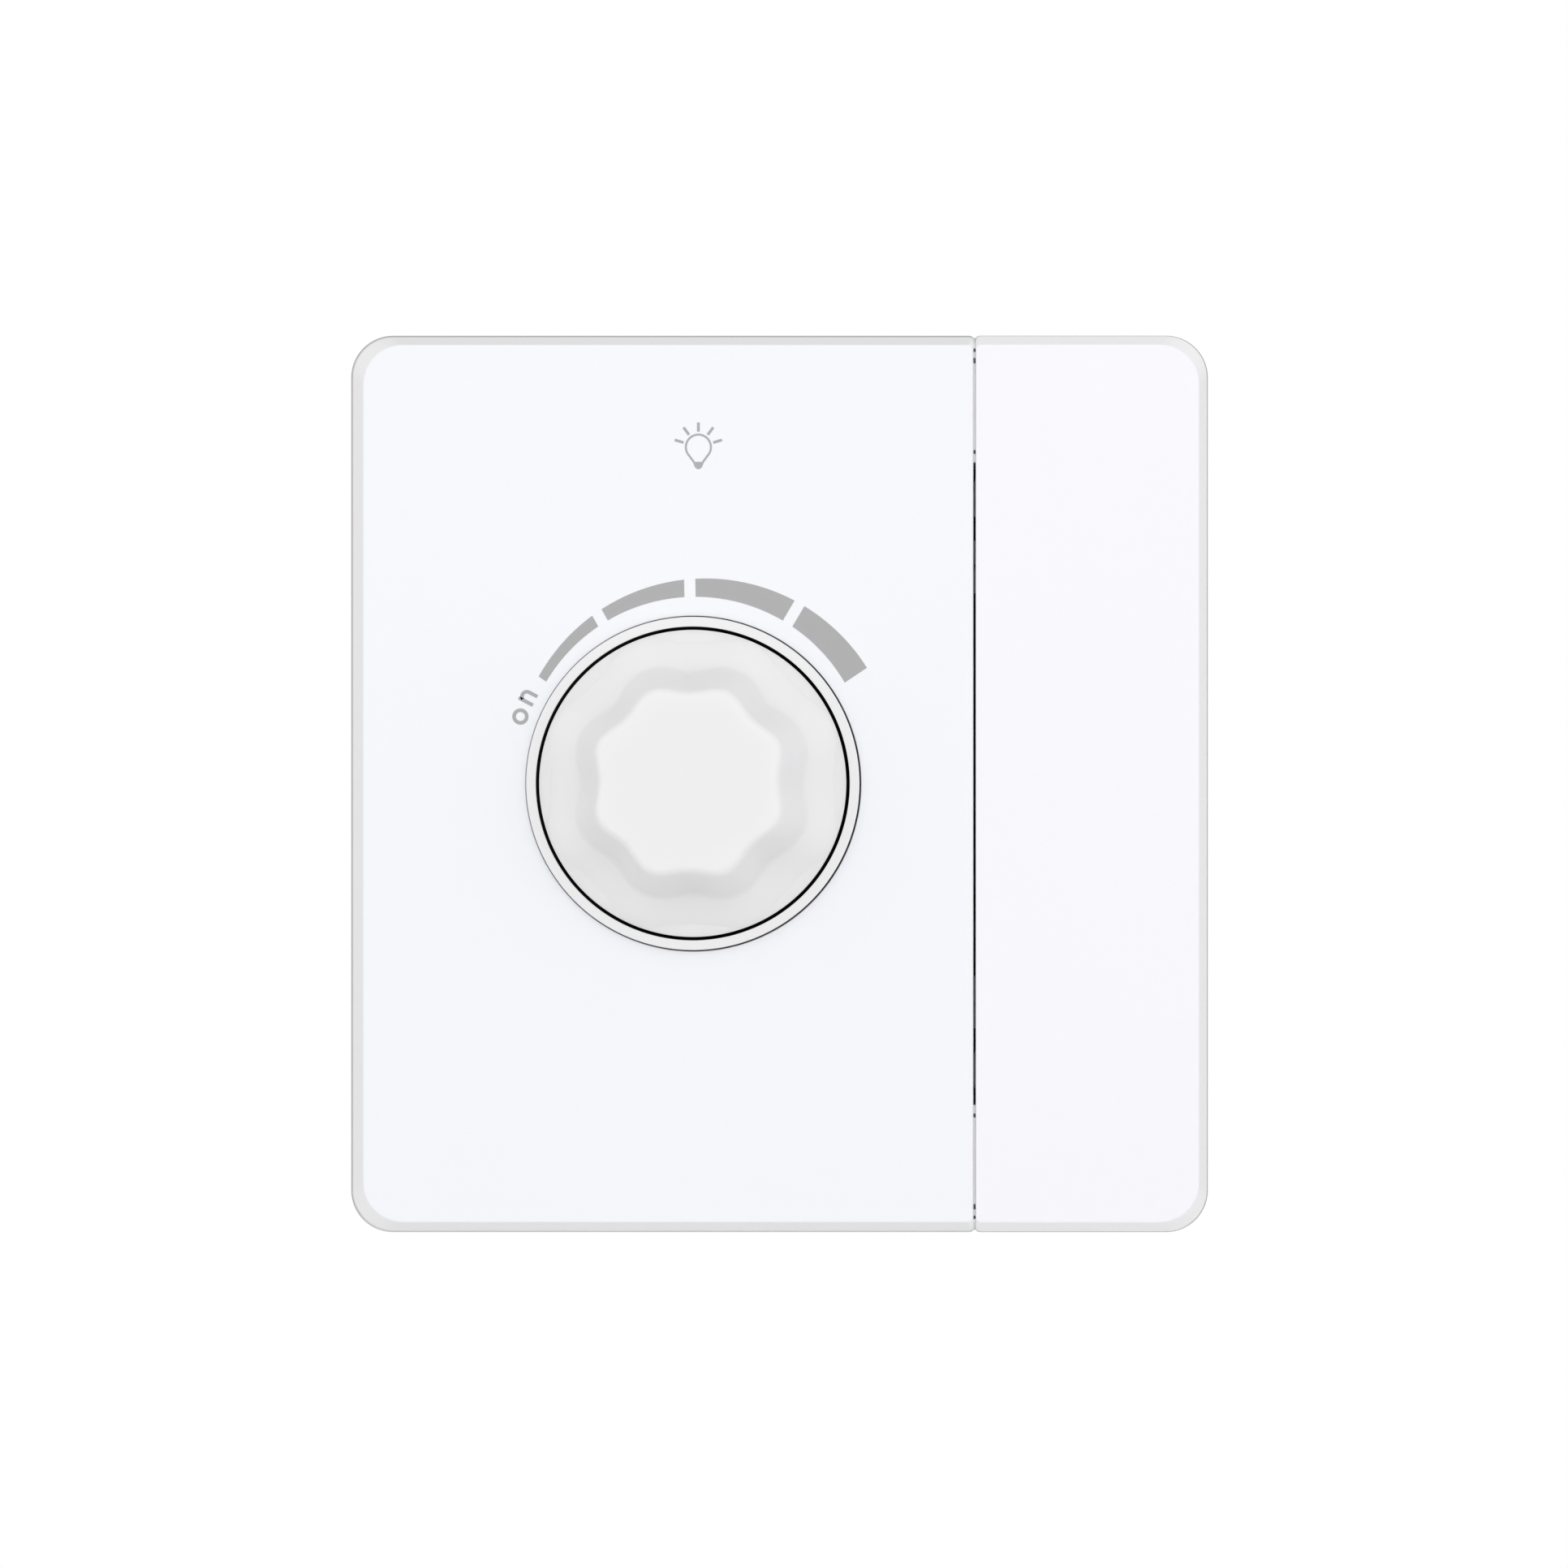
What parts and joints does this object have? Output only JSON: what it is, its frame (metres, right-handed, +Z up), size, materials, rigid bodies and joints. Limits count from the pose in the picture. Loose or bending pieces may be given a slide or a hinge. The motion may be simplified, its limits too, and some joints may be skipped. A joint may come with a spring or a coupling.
{
  "type": "rotary dimmer switch",
  "caption": "White wall plate with a scalloped rotary dimmer knob in a trim ring and a narrow side cover, over a cased dimmer module.",
  "frame": {"origin": "middle of the plate on the wall plane, halfway between the two wall screws", "axes": "+X to the right seen from the room, +Y into the wall, +Z up, so the front faces -Y"},
  "size_m": [0.086, 0.042, 0.09],
  "materials": {
    "cover_plastic": "satin moulded white",
    "knob_plastic": "satin moulded white",
    "frame_plastic": "matt white polycarbonate",
    "case_plastic": "matt light grey flame-retardant plastic",
    "black_anodised": "matt black anodised",
    "zinc_steel": "zinc plated",
    "tinned": "tinned",
    "brass": "plain turned brass",
    "shaft_aluminium": "fine turned",
    "pot_steel": "pressed steel",
    "green_board": "satin solder resist",
    "brown_board": "pressed paper laminate",
    "carbon": "printed carbon",
    "black_plastic": "matt moulded black",
    "natural_nylon": "natural nylon",
    "core_powder": "lacquered iron powder",
    "enamelled_copper": "clear red-brown enamel",
    "yellow_film": "moulded yellow box",
    "orange_epoxy": "dipped epoxy",
    "resistor_lacquer": "beige lacquer",
    "diac_blue": "blue lacquer",
    "fuse_glass": "clear glass",
    "nickel": "nickel plated",
    "silicone_pad": "grey silicone"
  },
  "bodies": {
    "frame": {"mounting_frame": "frame_plastic", "knob_ring": "cover_plastic", "heat_sink": "black_anodised", "wall_screws": "zinc_steel", "frame_screws": "zinc_steel", "case_screws": "zinc_steel", "module_case": "case_plastic", "circuit_board": "green_board", "pot_housing": "pot_steel", "pot_bushing": "brass", "pot_washer": "zinc_steel", "pot_nut": "zinc_steel", "track_board": "brown_board", "resistive_track": "carbon", "pot_pins": "tinned", "switch_case": "black_plastic", "fixed_contacts": "brass", "triac_body": "black_plastic", "triac_tab": "tinned", "triac_pad": "silicone_pad", "triac_screw": "zinc_steel", "triac_nut": "zinc_steel", "choke_core": "core_powder", "choke_winding": "enamelled_copper", "mains_capacitor": "yellow_film", "timing_capacitors": "orange_epoxy", "resistors": "resistor_lacquer", "diac": "diac_blue", "fuse_tube": "fuse_glass", "fuse_caps": "nickel", "fuse_clips": "tinned", "terminal_clamps": "brass", "terminal_screws": "zinc_steel"},
    "knob": {"knob_cap": "knob_plastic", "knob_clip": "zinc_steel", "pot_shaft": "shaft_aluminium", "wiper_carrier": "natural_nylon", "wiper_spring": "brass", "switch_cam": "natural_nylon"},
    "snap_lever": {"switch_lever": "natural_nylon", "lever_contact": "brass"},
    "front_cover": {"front_cover": "cover_plastic"},
    "side_cover": {"side_cover": "cover_plastic"}
  },
  "joints": [
    {"name": "knob_turn", "type": "hinge", "parent": "frame", "child": "knob", "pos_m": [-0.00855, 0, 0], "axis": [0, 1, 0], "range_deg": [0, 270]},
    {"name": "lever_snap", "type": "hinge", "parent": "frame", "child": "snap_lever", "pos_m": [-0.00855, 0, 0.0083], "axis": [0, 1, 0], "range_deg": [0, 24]},
    {"name": "front_cover_pull", "type": "slide", "parent": "frame", "child": "front_cover", "axis": [0, -1, 0], "range_m": [0, 0.012]},
    {"name": "side_cover_pull", "type": "slide", "parent": "frame", "child": "side_cover", "axis": [0, -1, 0], "range_m": [0, 0.012]}
  ]
}
